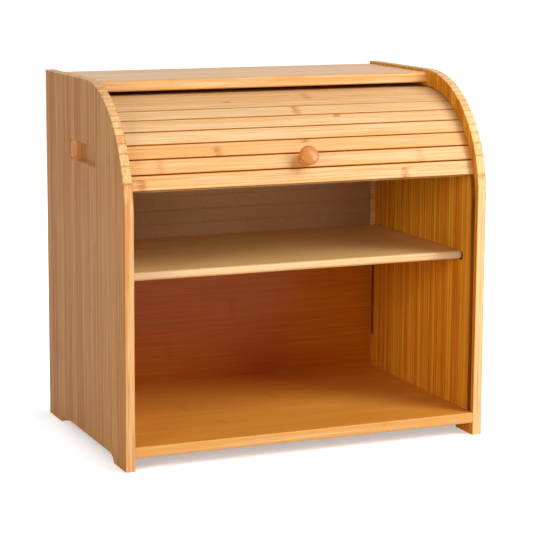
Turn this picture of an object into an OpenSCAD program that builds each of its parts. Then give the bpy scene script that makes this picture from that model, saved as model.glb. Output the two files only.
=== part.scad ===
// Two-tier roll-top bread box in laminated bamboo.
// Millimetres, +Z up. The front faces -Y and the box stands on Z = 0.
// Lengths along Y are counted back from the front edges of the side panels,
// and the finished part is moved so that the origin is at the middle of its base.

/* [Case] */
// Width over the two side panels
case_w = 390; // [340:5:460]
// Depth of the side panels
case_d = 254; // [246:2:300]
// Height of the side panels
case_h = 372; // [366:2:420]
// Thickness of each side panel
side_t = 10; // [10:0.5:14]
// Radius of the curved upper front corner of the side panels
corner_r = 122; // [115:1:130]
// Rounding along the long edges of the side panels
side_edge_r = 1.2; // [0.6:0.1:1.5]

/* [Feet] */
// Height of the cut-out that leaves two feet on each side panel
foot_h = 8; // [5:0.5:10]
// Length of each front foot
foot_front = 36; // [30:1:44]
// Length of each rear foot
foot_rear = 42; // [34:1:50]
// Radius of the rounded ends of the cut-out
foot_end_r = 18; // [14:1:24]

/* [Hand pockets] */
// Length of the blind hand pocket in each side panel
pocket_l = 79; // [70:1:90]
// Height of the hand pocket
pocket_h = 20; // [18:0.5:24]
// Depth of the hand pocket
pocket_depth = 7; // [5:0.5:7.5]
// Radius of the hand pocket's corners
pocket_r = 3; // [1:0.5:5]
// Height of the middle of the hand pocket above the table
pocket_z = 297; // [285:1:305]

/* [Bottom panel] */
// Height of the bottom panel's underside above the table
bottom_z = 13; // [12:0.5:16]
// Thickness of the bottom panel
bottom_t = 11; // [9:0.5:13]
// Rounding of the bottom panel's front edges
bottom_nose_r = 1.5; // [0.5:0.25:3]

/* [Shelf] */
// Height of the shelf's underside above the table
shelf_z = 180; // [160:1:200]
// Thickness of the shelf
shelf_t = 8.5; // [7:0.5:10]
// Distance of the shelf's front edge behind the side panels' front edges
shelf_front = 36; // [30:1:44]
// Rounding of the shelf's front edges
shelf_nose_r = 3; // [1:0.5:3.4]
// Depth of the dadoes that hold the shelf's ends
dado_depth = 4; // [3:0.5:5]
// How far each dado's rounded end runs on in front of the shelf
dado_lead = 7.5; // [6:0.5:12]
// Clearance of the shelf in its dadoes, each way
dado_gap = 0.1; // [0.05:0.05:0.2]

/* [Top panel] */
// Thickness of the top panel
top_t = 11; // [9.5:0.5:12.5]
// How far the top panel lies below the side panels' top edges
top_drop = 3; // [2:0.5:4]
// Distance of the top panel's front edge behind the side panels' front edges
top_front = 115; // [108:1:120]
// Rounding of the top panel's upper front edge
top_nose_r = 2.5; // [1:0.5:4]
// Rounding of the top panel's lower front edge
top_lip_r = 2; // [1:0.5:3]

/* [Back panel] */
// Thickness of the back panel
back_t = 9; // [8:0.5:11]

/* [Track] */
// Wood left between the side panels' front edges and the track
track_lip = 6; // [5:0.5:7]
// Radius of the track's outer wall at the front
front_r = 112; // [106:1:114]
// Radius of the track's outer wall at the rear
rear_r = 34; // [31:1:38]
// Depth of the track's grooves in the side panels
groove_depth = 5; // [4:0.5:6]
// Clearance between a slat's face and the groove's wall
groove_gap = 0.65; // [0.6:0.05:0.8]
// Room between the track and the panels that it passes under and before
track_room = 3.6; // [2.8:0.2:4.4]
// Height of the track's lower end behind the shelf
track_end_z = 60; // [40:5:90]

/* [Roll-top door] */
// Width of each slat
slat_w = 14.7; // [13.7:0.1:14.8]
// Thickness of each slat
slat_t = 6; // [5:0.25:6.5]
// Gap between neighbouring slats, measured at the canvas
slat_gap = 0.3; // [0.2:0.05:0.5]
// Rounding of the slats' long outer edges
slat_edge_r = 0.9; // [0.4:0.1:1.2]
// Free play between a slat's end and the bottom of its groove
slat_end_gap = 0.7; // [0.4:0.1:1.2]
// Angle round the front curve at which the door's lower edge stands
open_angle = 15.2; // [10:0.1:20]
// Thickness of the canvas backing
canvas_t = 0.6; // [0.4:0.1:1]
// Layer of glue between the canvas and the slats
canvas_glue = 0.3; // [0.2:0.05:0.4]
// Distance of the canvas's edges from the side panels
canvas_margin = 6; // [3:0.5:12]

/* [Knob] */
// Diameter of the knob's head
knob_head_d = 20; // [18:0.5:24]
// Diameter of the knob's foot on the slat
knob_foot_d = 14; // [12:0.5:14]
// Diameter of the knob's neck
knob_neck_d = 10; // [9:0.5:11]
// Height of the knob above the slat
knob_h = 17.5; // [16:0.5:22]
// Height of the flange at the knob's foot
knob_foot_h = 3; // [2:0.5:4]
// Height of the knob's head
knob_head_h = 8; // [7.5:0.5:10]
// Rounding of the head's rim
knob_rim_r = 3.4; // [2:0.2:3.6]
// Diameter of the screw that holds the knob
screw_d = 3.5; // [3:0.5:4]
// Diameter of the screw's pan head
screw_head_d = 7; // [6:0.5:8]
// Height of the screw's pan head
screw_head_h = 2.2; // [1.8:0.2:2.8]
// Depth of the screw in the knob
screw_bite = 12; // [8:1:14]
// Clearance round the screw
screw_gap = 0.05; // [0.03:0.01:0.1]

/* [Dowels] */
// Diameter of the hidden dowels
dowel_d = 6; // [5:0.5:6.5]
// Depth of a dowel in the side panel
dowel_side = 6; // [4:0.5:7]
// Depth of a dowel in the panel that it holds
dowel_panel = 18; // [12:1:24]
// Clearance round a dowel
dowel_gap = 0.05; // [0.03:0.01:0.1]
// Distance of the outermost dowels from a panel's ends
dowel_inset = 30; // [26:1:36]

/* [Hidden] */
$fn = 96;
// How far a cutter stands past the face that it cuts
past = 1;

// Panels
inner_w = case_w - 2*side_t;
top_z = case_h - top_drop;
top_under = top_z - top_t;
bottom_top = bottom_z + bottom_t;
back_y = case_d - back_t;
curve_z = case_h - corner_r;

// Track: outer wall's lines, and the centres of its front and rear curves
track_rear = back_y - track_room/2;
track_top = top_under - track_room;
front_y = track_lip + front_r;
front_z = track_top - front_r;
rear_y = track_rear - rear_r;
rear_z = track_top - rear_r;
groove_w = slat_t + 2*groove_gap;

// The seat is the line that the slats' inner faces follow
seat_in = groove_gap + slat_t;
seat_front_r = front_r - seat_in;
seat_rear_r = rear_r - seat_in;
front_arc = seat_front_r*PI/2;
top_run = rear_y - front_y;
rear_arc = seat_rear_r*PI/2;
// A flat slat's corners stand past the curve through its middle by this much
rear_lift = sqrt(pow(rear_r - groove_gap, 2) + pow(slat_w/2, 2)) - (rear_r - groove_gap);

// Door
slat_count = 27;
handle_slat = 2;
pitch = slat_w + slat_gap;
slat_l = inner_w + 2*(groove_depth - slat_end_gap);
door_edge = seat_front_r*open_angle*PI/180;
door_end = door_edge + slat_count*pitch;
canvas_w = inner_w - 2*canvas_margin;

// Shelf: its rear edge leaves the door room to pass
shelf_rear = track_rear - groove_w - canvas_glue - canvas_t - track_room;

// Place of the seat at a distance along it from the start of the front curve:
// [y, z, angle turned from straight up]
function seat(s) =
    s < 0 ? [track_lip + seat_in, front_z + s, 0]
  : s < front_arc ? let (a = s/seat_front_r*180/PI)
        [front_y - seat_front_r*cos(a), front_z + seat_front_r*sin(a), a]
  : s < front_arc + top_run ? [front_y + s - front_arc, track_top - seat_in, 90]
  : s < front_arc + top_run + rear_arc ?
        let (a = (s - front_arc - top_run)/seat_rear_r*180/PI)
        [rear_y + seat_rear_r*sin(a), rear_z + seat_rear_r*cos(a), 90 + a]
  : [track_rear - seat_in, rear_z - (s - front_arc - top_run - rear_arc), 180];

function slat_seat(i) = seat(door_edge + (i - 0.5)*pitch);
door_end_z = rear_z - (door_end - front_arc - top_run - rear_arc);

// The knob's rim is the part's foremost point
handle_at = slat_seat(handle_slat);
rim_reach = (slat_t + knob_h - knob_rim_r)*cos(handle_at[2])
    + (knob_head_d/2 - knob_rim_r)*sin(handle_at[2]) + knob_rim_r;
foremost = min(0, handle_at[0] - rim_reach);
middle_y = (foremost + case_d)/2;

function two(n) = n < 10 ? str("0", n) : str(n);
SLATS = [for (i = [1:slat_count]) str("slat_", two(i))];

module placed() translate([0, -middle_y, 0]) children();

// A flat shape drawn as [depth, height] and carried along the width from x0
module along_width(x0, l) translate([x0, 0, 0]) rotate([90, 0, 90]) linear_extrude(l) children();

module for_both_sides() {
    children();
    mirror([1, 0, 0]) children();
}

// What rounding with radius r takes off a square corner that stands at the origin
// and has its material towards +x and +y
module corner_waste_2d(r) {
    difference() {
        translate([-past, -past]) square(r + past);
        translate([r, r]) circle(r);
    }
}

// A rectangle centred on the origin with rounded corners
module rounded_box_2d(l, h, r) {
    difference() {
        square([l, h], center = true);
        for (x = [0, 1], y = [0, 1]) mirror([x, 0]) mirror([0, y])
            translate([-l/2, -h/2]) corner_waste_2d(r);
    }
}

// A panel's section from the origin, l deep and t thick, with its front edges rounded
module nosed_bar_2d(l, t, r_low, r_high) {
    difference() {
        square([l, t]);
        corner_waste_2d(r_low);
        translate([0, t]) mirror([0, 1]) corner_waste_2d(r_high);
    }
}

// A quarter of a ring, towards [y_way, z_way] from its centre
module quarter_ring_2d(r_out, r_in, y_way, z_way) {
    intersection() {
        difference() {
            circle(r_out);
            circle(r_in);
        }
        translate([y_way < 0 ? -r_out : 0, z_way < 0 ? -r_out : 0]) square(r_out);
    }
}

// ---- side panels -------------------------------------------------------

module side_outline_2d() {
    difference() {
        square([case_d, case_h]);
        translate([0, case_h]) mirror([0, 1]) corner_waste_2d(corner_r, $fn = 180);
    }
}

module foot_cut_2d() {
    y0 = foot_front + sqrt(pow(foot_end_r, 2) - pow(foot_end_r - foot_h, 2));
    y1 = case_d - foot_rear - sqrt(pow(foot_end_r, 2) - pow(foot_end_r - foot_h, 2));
    intersection() {
        union() {
            translate([y0, -past]) square([y1 - y0, foot_h + past]);
            for (y = [y0, y1]) translate([y, foot_h - foot_end_r]) circle(foot_end_r);
        }
        translate([0, -past]) square([case_d, foot_h + past]);
    }
}

module track_2d() {
    translate([track_lip, bottom_top]) square([groove_w, front_z - bottom_top]);
    translate([front_y, front_z])
        quarter_ring_2d(front_r, front_r - groove_w, -1, 1, $fn = 180);
    translate([front_y, track_top - groove_w]) square([top_run, groove_w]);
    translate([rear_y, rear_z])
        quarter_ring_2d(rear_r + rear_lift, rear_r - groove_w, 1, 1);
    translate([track_rear - groove_w, track_end_z]) square([groove_w, rear_z - track_end_z]);
}

module dado_2d() {
    h = shelf_t + 2*dado_gap;
    y0 = shelf_front - dado_lead + h/2;
    translate([y0, shelf_z - dado_gap]) square([shelf_rear + dado_gap - y0, h]);
    translate([y0, shelf_z - dado_gap + h/2]) circle(h/2);
}

// Waste along the front, curved and top edges of a side panel's face at x = 0
module edge_waste() {
    translate([0, 0, -past]) linear_extrude(curve_z + past) corner_waste_2d(side_edge_r);
    translate([0, corner_r, curve_z]) rotate([90, 0, 90]) rotate(90)
        rotate_extrude(angle = 90, $fn = 180)
            translate([corner_r, 0]) mirror([1, 0]) corner_waste_2d(side_edge_r);
    translate([0, corner_r, case_h]) rotate([-90, 0, 0])
        linear_extrude(case_d - corner_r + past) corner_waste_2d(side_edge_r);
}

// Each place in a side panel where a dowel of one kind goes
module dowel_places(kind) {
    if (kind == "top")
        for (y = [top_front + dowel_inset, back_y - dowel_inset])
            translate([0, y, top_z - top_t/2]) children();
    if (kind == "bottom")
        for (y = [dowel_inset, back_y - dowel_inset])
            translate([0, y, bottom_z + bottom_t/2]) children();
    if (kind == "back")
        for (z = [bottom_z + dowel_inset, (bottom_z + top_under)/2, top_under - dowel_inset])
            translate([0, back_y + back_t/2, z]) children();
}

// A dowel across the joint between the left side panel and what stands against it
module dowel(gap) {
    translate([-inner_w/2 - dowel_side - gap, 0, 0]) rotate([0, 90, 0])
        cylinder(d = dowel_d + 2*gap, h = dowel_side + dowel_panel + 2*gap);
}

module side_panel() {
    x0 = -case_w/2;
    difference() {
        along_width(x0, side_t) difference() {
            side_outline_2d();
            foot_cut_2d();
        }
        translate([x0, 0, 0]) edge_waste();
        translate([x0 + side_t, 0, 0]) mirror([1, 0, 0]) edge_waste();
        along_width(x0 + side_t - groove_depth, groove_depth + past) track_2d();
        along_width(x0 + side_t - dado_depth - dado_gap, dado_depth + dado_gap + past) dado_2d();
        along_width(x0 - past, pocket_depth + past)
            translate([case_d/2, pocket_z]) rounded_box_2d(pocket_l, pocket_h, pocket_r);
        for (kind = ["top", "bottom", "back"]) dowel_places(kind) dowel(dowel_gap);
    }
}

// ---- panels between the sides ------------------------------------------

module bottom_panel() {
    difference() {
        translate([0, 0, bottom_z]) along_width(-inner_w/2, inner_w)
            nosed_bar_2d(back_y, bottom_t, bottom_nose_r, bottom_nose_r);
        for_both_sides() dowel_places("bottom") dowel(dowel_gap);
    }
}

module shelf() {
    translate([0, shelf_front, shelf_z])
        along_width(-inner_w/2 - dado_depth, inner_w + 2*dado_depth)
            nosed_bar_2d(shelf_rear - shelf_front, shelf_t, shelf_nose_r, shelf_nose_r);
}

module top_panel() {
    difference() {
        translate([0, top_front, top_under]) along_width(-inner_w/2, inner_w)
            nosed_bar_2d(case_d - top_front, top_t, top_lip_r, top_nose_r);
        for_both_sides() dowel_places("top") dowel(dowel_gap);
    }
}

module back_panel() {
    difference() {
        translate([-inner_w/2, back_y, bottom_z]) cube([inner_w, back_t, top_under - bottom_z]);
        for_both_sides() dowel_places("back") dowel(dowel_gap);
    }
}

module dowels(kind) for_both_sides() dowel_places(kind) dowel(0);

// ---- roll-top door -----------------------------------------------------

// A slat's section, its inner face on the seat and its outer face towards +y
module slat_2d() {
    difference() {
        translate([-slat_w/2, 0]) square([slat_w, slat_t]);
        for (x = [0, 1]) mirror([x, 0])
            translate([-slat_w/2, slat_t]) mirror([0, 1]) corner_waste_2d(slat_edge_r, $fn = 32);
    }
}

// On a slat's seat, with local z standing out of the door
module at_seat(p) translate([0, p[0], p[1]]) rotate([90 - p[2], 0, 0]) children();

module slat(i) {
    p = slat_seat(i);
    difference() {
        along_width(-slat_l/2, slat_l) translate([p[0], p[1]]) rotate(90 - p[2]) slat_2d();
        if (i == handle_slat)
            at_seat(p) translate([0, 0, -past])
                cylinder(d = screw_d + 2*screw_gap, h = slat_t + 2*past);
    }
}

module canvas_2d() {
    r_out = seat_front_r - canvas_glue;
    level = track_top - seat_in - canvas_glue - canvas_t;
    far = 2*front_r;
    translate([front_y, front_z]) intersection() {
        quarter_ring_2d(r_out, r_out - canvas_t, -1, 1, $fn = 180);
        polygon([[0, 0], [-far*cos(open_angle), far*sin(open_angle)], [0, far]]);
    }
    translate([front_y, level]) square([top_run, canvas_t]);
    translate([rear_y, rear_z])
        quarter_ring_2d(seat_rear_r - canvas_glue, seat_rear_r - canvas_glue - canvas_t, 1, 1);
    translate([track_rear - seat_in - canvas_glue - canvas_t, door_end_z])
        square([canvas_t, rear_z - door_end_z]);
}

module canvas_backing() {
    difference() {
        along_width(-canvas_w/2, canvas_w) canvas_2d();
        at_seat(handle_at) translate([0, 0, -3*past])
            cylinder(d = screw_head_d + 2*past, h = 3*past);
    }
}

// The knob's section: foot flange, hollowed neck and head with a rounded rim
module knob_2d() {
    neck_h = knob_h - knob_foot_h - knob_head_h;
    rim = knob_head_d/2;
    // foot flange
    square([knob_foot_d/2 - 1, knob_foot_h]);
    square([knob_foot_d/2, knob_foot_h - 1]);
    translate([knob_foot_d/2 - 1, knob_foot_h - 1]) circle(1, $fn = 32);
    // neck, which widens into the head
    translate([0, knob_foot_h - past]) square([knob_neck_d/2, neck_h + 2*past]);
    difference() {
        translate([0, knob_foot_h + neck_h/2]) square([rim - knob_rim_r, neck_h/2 + past]);
        translate([knob_neck_d/2 + neck_h/2, knob_foot_h + neck_h/2]) circle(neck_h/2);
        translate([knob_neck_d/2 + neck_h/2, knob_foot_h]) square([rim, neck_h]);
    }
    // head
    translate([0, knob_h - knob_head_h]) square([rim - knob_rim_r, knob_head_h]);
    translate([0, knob_h - knob_head_h + knob_rim_r])
        square([rim, knob_head_h - 2*knob_rim_r]);
    for (y = [knob_h - knob_rim_r, knob_h - knob_head_h + knob_rim_r])
        translate([rim - knob_rim_r, y]) circle(knob_rim_r);
}

module knob() {
    at_seat(handle_at) translate([0, 0, slat_t]) difference() {
        rotate_extrude() intersection() {
            knob_2d();
            square([knob_head_d, knob_h]);
        }
        translate([0, 0, -past])
            cylinder(d = screw_d + 2*screw_gap, h = screw_bite + screw_gap + past);
    }
}

module knob_screw() {
    under_head = canvas_glue + canvas_t;
    at_seat(handle_at) {
        translate([0, 0, -under_head]) cylinder(d = screw_d, h = under_head + slat_t + screw_bite);
        translate([0, 0, -under_head - screw_head_h]) difference() {
            cylinder(d = screw_head_d, h = screw_head_h);
            for (turn = [0, 90]) rotate(turn)
                translate([-screw_head_d*0.3, -screw_head_d*0.07, -past])
                    cube([screw_head_d*0.6, screw_head_d*0.14, screw_head_h*0.5 + past]);
        }
    }
}

// ---- the part ----------------------------------------------------------

placed() color("#b88a62") side_panel();  // left_side_panel
placed() color("#d99a52") mirror([1, 0, 0]) side_panel();  // right_side_panel
placed() color("#f0b468") bottom_panel();
placed() color("#f2b873") shelf();
placed() color("#f5c084") top_panel();
placed() color("#b9803f") back_panel();
placed() color("#8c7864") canvas_backing();
placed() color("#d98a3f") knob();
placed() color("silver") knob_screw();
placed() color("#dcb483") dowels("top");  // top_dowels
placed() color("#dcb483") dowels("bottom");  // bottom_dowels
placed() color("#dcb483") dowels("back");  // back_dowels
for (i = [1:slat_count])
    placed() color(i % 2 == 0 ? "#fbd09a" : "#f5c384") slat(i);
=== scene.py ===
"""Two-tier roll-top bread box: surfaces, finishes and studio round the packed CAD frame."""

import bmesh
import bpy
import numpy as np
from bpy.props import FloatProperty, FloatVectorProperty, IntProperty, PointerProperty
from mathutils import Matrix, Vector
from mathutils.geometry import tessellate_polygon


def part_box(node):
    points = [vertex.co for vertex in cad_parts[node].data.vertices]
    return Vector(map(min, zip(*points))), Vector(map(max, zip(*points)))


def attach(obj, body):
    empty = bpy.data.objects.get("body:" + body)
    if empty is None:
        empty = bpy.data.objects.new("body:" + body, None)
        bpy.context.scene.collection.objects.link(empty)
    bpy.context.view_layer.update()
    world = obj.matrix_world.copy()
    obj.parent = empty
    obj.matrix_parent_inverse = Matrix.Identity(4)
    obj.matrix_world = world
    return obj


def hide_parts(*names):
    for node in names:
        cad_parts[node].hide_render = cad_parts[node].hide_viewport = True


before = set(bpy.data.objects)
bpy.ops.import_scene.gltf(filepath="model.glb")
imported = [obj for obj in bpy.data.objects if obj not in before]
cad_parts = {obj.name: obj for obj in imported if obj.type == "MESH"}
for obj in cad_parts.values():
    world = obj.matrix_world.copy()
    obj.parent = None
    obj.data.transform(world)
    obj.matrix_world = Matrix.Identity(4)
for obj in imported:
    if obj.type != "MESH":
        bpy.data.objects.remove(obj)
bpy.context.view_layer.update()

bl_info = {
    "name": "Roll-top bread box",
    "version": (1, 0, 0),
    "blender": (4, 5, 0),
    "location": "View3D > Sidebar > Bread box",
    "description": "Laminated bamboo panels, slats, canvas and knob of a two-tier roll-top bread box",
    "category": "Add Mesh",
}

MM = 0.001
SIDE_LOW, SIDE_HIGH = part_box("left_side_panel")
BOTTOM_LOW, BOTTOM_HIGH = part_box("bottom_panel")
SHELF_LOW, SHELF_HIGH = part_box("shelf")
TOP_LOW, TOP_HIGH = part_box("top_panel")
BACK_LOW, BACK_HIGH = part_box("back_panel")
SLAT_LOW, SLAT_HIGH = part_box("slat_01")
CANVAS_LOW, CANVAS_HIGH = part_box("canvas_backing")

# Lengths along the depth are counted back from the side panels' front edges
FRONT = SIDE_LOW.y
DEPTH = SIDE_HIGH.y - SIDE_LOW.y
HEIGHT = SIDE_HIGH.z
SLAT_COUNT = 27
HANDLE_SLAT = 2

# An arc is cut into chords that stay this near to it, and each rounded rim has this many rows of points
CHORD_GAP = 0.015 * MM
RIM_ROWS = 5

# The photograph's width, and how far its middle lies off the lens's axis each way, in pixels
PHOTO_WIDTH, OFF_AXIS = 533, 27

# The sockets of a Mix node that mixes colours: its factor, its two colours and its result
MIX_BY, MIX_FROM, MIX_TO, MIXED = 0, 6, 7, 2


def length(name, description, default):
    """A size in metres that is given in millimetres."""
    return FloatProperty(
        name=name, description=description, default=default * MM, unit="LENGTH", precision=5
    )


def colour(name, description, code):
    """A colour that is given as an sRGB hex value and shown as one."""
    return FloatVectorProperty(
        name=name, description=description, default=linear(code), subtype="COLOR",
        size=3, min=0.0, max=1.0,
    )


def linear(code):
    """The linear colour of an sRGB hex value such as #f2c481."""
    levels = np.array([int(code[i:i + 2], 16) for i in (1, 3, 5)]) / 255
    low = levels / 12.92
    high = ((levels + 0.055) / 1.055) ** 2.4
    return tuple(np.where(levels <= 0.04045, low, high).tolist())


# ---- sizes and colours that a user would change ---------------------------


class CaseSizes(bpy.types.PropertyGroup):
    """Sizes of the side panels and of the boards between them."""

    corner: length("Corner radius", "Radius of the curved upper front corners", 122)
    side_edge: length("Side edge rounding", "Rounding along the side panels' long edges", 1.2)
    sharp_edge: length("Plain edge rounding", "Ease on edges that are only sanded", 0.5)
    foot_front: length("Front foot", "Length of each front foot", 36)
    foot_rear: length("Rear foot", "Length of each rear foot", 42)
    foot_height: length("Foot height", "Height of the cut-out between the feet", 8)
    foot_slope: length("Foot slope", "How far the cut-out's ends lean from the feet", 5.34)
    foot_end: length("Foot end radius", "Radius of the cut-out's ends", 15.5)
    pocket_length: length("Pocket length", "Length of the blind hand pocket", 79)
    pocket_height: length("Pocket height", "Height of the blind hand pocket", 20)
    pocket_depth: length("Pocket depth", "Depth of the blind hand pocket", 7)
    pocket_corner: length("Pocket corner", "Radius of the pocket's corners", 3)
    pocket_level: length("Pocket level", "Height of the pocket's middle", 297)
    dado_depth: length("Dado depth", "Depth of the dadoes that hold the shelf", 4.1)
    dado_lead: length("Dado lead", "Length of the dado in front of the shelf", 7.5)
    bottom_nose: length("Bottom nose", "Rounding of the bottom panel's front edges", 1.5)
    shelf_nose: length("Shelf nose", "Rounding of the shelf's front edges", 3)
    top_nose: length("Top nose", "Rounding of the top panel's upper front edge", 2.5)
    top_lip: length("Top lip", "Rounding of the top panel's lower front edge", 2)


class DoorSizes(bpy.types.PropertyGroup):
    """Sizes of the track, the slats and the canvas."""

    lip: length("Track lip", "Wood between the front edge and the track", 6)
    front_radius: length("Front curve", "Radius of the track's outer wall at the front", 112)
    rear_radius: length("Rear curve", "Radius of the track's outer wall at the rear", 34)
    track_top: length("Track top", "Height of the track's upper wall", 354.4)
    track_rear: length("Track rear", "Distance of the track's rear wall behind the front", 243.2)
    track_end: length("Track end", "Height of the track's lower end at the rear", 60)
    groove: length("Groove width", "Width of the track's grooves", 7.3)
    groove_depth: length("Groove depth", "Depth of the track's grooves", 5)
    gap: length("Slat play", "Clearance between a slat's face and the groove", 0.65)
    pitch: length("Slat pitch", "Distance from one slat to the next", 15)
    slat_width: length("Slat width", "Width of each slat", 14.7)
    slat_thickness: length("Slat thickness", "Thickness of each slat", 6)
    slat_edge: length("Slat edge", "Rounding of the slats' outer edges", 0.9)
    door_edge: length("Door edge", "Way along the front curve to the door's lower edge", 27.948)
    glue: length("Glue", "Layer of glue between slats and canvas", 0.3)
    canvas: length("Canvas", "Thickness of the canvas", 0.6)
    thread: length("Thread spacing", "Distance between the canvas's threads", 1.3)


class KnobSizes(bpy.types.PropertyGroup):
    """Sizes of the turned knob."""

    head: length("Head", "Diameter of the knob's head", 20)
    foot: length("Foot", "Diameter of the knob's foot", 14)
    neck: length("Neck", "Diameter of the knob's neck", 10)
    height: length("Height", "Height of the knob above its slat", 17.5)
    steps: IntProperty(name="Turns", description="Sides of the turned surface", default=96, min=24)


class Finishes(bpy.types.PropertyGroup):
    """Colours of the bamboo and of the painted shade on it, the knob, the canvas and the hidden hardware."""

    pale: colour("Pale bamboo", "Palest strips of the boards and slats", "#f0ca96")
    deep: colour("Deep bamboo", "Deepest strips of the boards and slats", "#e8a453")
    side_pale: colour("Pale side", "Palest strips of the side panels", "#f9cd8f")
    side_deep: colour("Deep side", "Deepest strips of the side panels", "#e0985a")
    # Painted shade: this colour dulls and darkens the side panels' outer faces
    tan: colour("Tan", "What the tint on the side panels' outer faces leaves of each colour", "#cab591")
    # Painted shade: this colour darkens and deepens the faces inside the box and the slats' seams
    inner_shade: colour("Amber", "What the lacquer's tint leaves of each colour inside the box", "#e6c454")
    # Painted shade: this colour darkens the walls and floors of the tracks and dadoes
    groove_shade: colour("Routed", "What is left of each colour on the walls of tracks and dadoes", "#b08840")
    knuckle: colour("Knuckle", "What a knuckle of the cane leaves of each colour", "#d4a652")
    joint: colour("Glue line", "What a glue line leaves of each colour", "#c4a17c")
    turned: colour("Knob", "Turned and lacquered wood of the knob", "#d9841c")
    cotton: colour("Canvas", "Unbleached cotton canvas", "#f2cfa0")
    zinc: colour("Screw", "Zinc plating of the screw", "#c9ccd0")
    peg: colour("Dowels", "Raw turned dowels", "#dcb483")
    strip: length("Strip width", "Width of one laminated strip", 5.4)


class StudioSettings(bpy.types.PropertyGroup):
    """Camera and lamps."""

    focal: FloatProperty(name="Focal length", description="Lens in millimetres", default=129.79)
    shift: FloatProperty(
        name="Frame shift", description="Shift of the frame", default=OFF_AXIS / PHOTO_WIDTH
    )
    right: FloatProperty(name="Right", description="Power of the right lamp in watts", default=13.5)
    left: FloatProperty(name="Left", description="Power of the left lamp in watts", default=22.0)
    high: FloatProperty(name="High", description="Power of the high lamp in watts", default=14.0)
    front: FloatProperty(name="Front", description="Power of the front lamp in watts", default=3.0)
    rear: FloatProperty(name="Rear", description="Power of the rear lamp in watts", default=12.0)
    ambient: FloatProperty(name="Ambient", description="Strength of the even light", default=0.2)


SETTINGS = {
    "bread_case": CaseSizes,
    "bread_door": DoorSizes,
    "bread_knob": KnobSizes,
    "bread_finish": Finishes,
    "bread_studio": StudioSettings,
}


# ---- surfaces -------------------------------------------------------------


def rounded_outline(corners):
    """A closed outline with rounded corners, and its outward normals.

    corners are rows of (y, z, radius), anticlockwise. Each corner becomes the arc that touches both of its
    sides: centre + radius * (cos, sin) of an angle that runs evenly from one side's outward normal to the
    next one's. A radius under 0.1 mm is cut into as many chords as one of 0.1 mm.
    """
    corners = np.asarray(corners, float)
    place, radius = corners[:, :2], corners[:, 2]
    ahead = np.roll(place, -1, 0) - place
    ahead /= np.linalg.norm(ahead, axis=1, keepdims=True)
    behind = np.roll(ahead, 1, 0)
    turn = np.arctan2(
        behind[:, 0] * ahead[:, 1] - behind[:, 1] * ahead[:, 0], (behind * ahead).sum(1)
    )
    bend = np.sign(turn)
    inward = np.stack([-behind[:, 1], behind[:, 0]], 1)
    start = place - behind * (radius * np.tan(abs(turn) / 2))[:, None]
    centre = start + inward * (bend * radius)[:, None]
    first = np.arctan2(-inward[:, 1], -inward[:, 0])
    chord = 2 * np.arccos(1 - CHORD_GAP / np.maximum(radius, 0.1 * MM))
    points = np.maximum(2, np.ceil(abs(turn) / chord)).astype(int) + 1
    which = np.repeat(np.arange(len(corners)), points)
    within = np.arange(len(which)) - np.repeat(np.cumsum(points) - points, points)
    angle = first[which] + turn[which] * within / (points[which] - 1)
    normal = np.stack([np.cos(angle), np.sin(angle)], 1)
    return centre[which] + (bend * radius)[which, None] * normal, normal


def case_outline(corners):
    """A rounded outline whose depths are counted from the side panels' front edges, in its place."""
    points, normal = rounded_outline(corners)
    return points + np.array([FRONT, 0.0]), normal


def oblong(front, rear, low, high, *radii):
    """Corners of a section with four sides: lower front, lower rear, upper rear and upper front."""
    return [*zip((front, rear, rear, front), (low, low, high, high), radii)]


def carried_rings(outline, face_x, way, out, depth, lean):
    """Rings of an outline carried along a section, and their normals.

    Each ring is the outline moved out along its normals and sunk under the face at face_x, in the direction
    way along X. Its surface normal is sin(lean) of the outline's normal and cos(lean) of the face's.
    """
    points, normal = outline
    lean = np.reshape(lean, (-1, 1))
    out = out + 0 * lean
    depth = depth + 0 * lean + 0 * points[:, 0]
    rings = np.empty((len(lean), len(points), 3))
    rings[..., 0] = face_x + way * depth
    rings[..., 1:] = points + normal * np.broadcast_to(out, depth.shape)[..., None]
    facing = np.empty_like(rings)
    facing[..., 0] = -way * np.cos(lean)
    facing[..., 1:] = normal * np.sin(lean)[..., None]
    return rings, facing


def skin_between(first, rows, columns):
    """Four-sided faces of a grid of rings whose columns close on themselves."""
    index = first + np.arange(rows * columns).reshape(rows, columns)
    after = np.roll(index, -1, 1)
    return np.stack([index[:-1], after[:-1], after[1:], index[1:]], -1).reshape(-1, 4)


def flat_cap(places, loops):
    """Triangles of a flat face between an outer loop and the loops of its recesses."""
    rows = [[Vector(place) for place in places[loop]] for loop in loops]
    return np.concatenate(loops)[np.array(tessellate_polygon(rows))]


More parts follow.
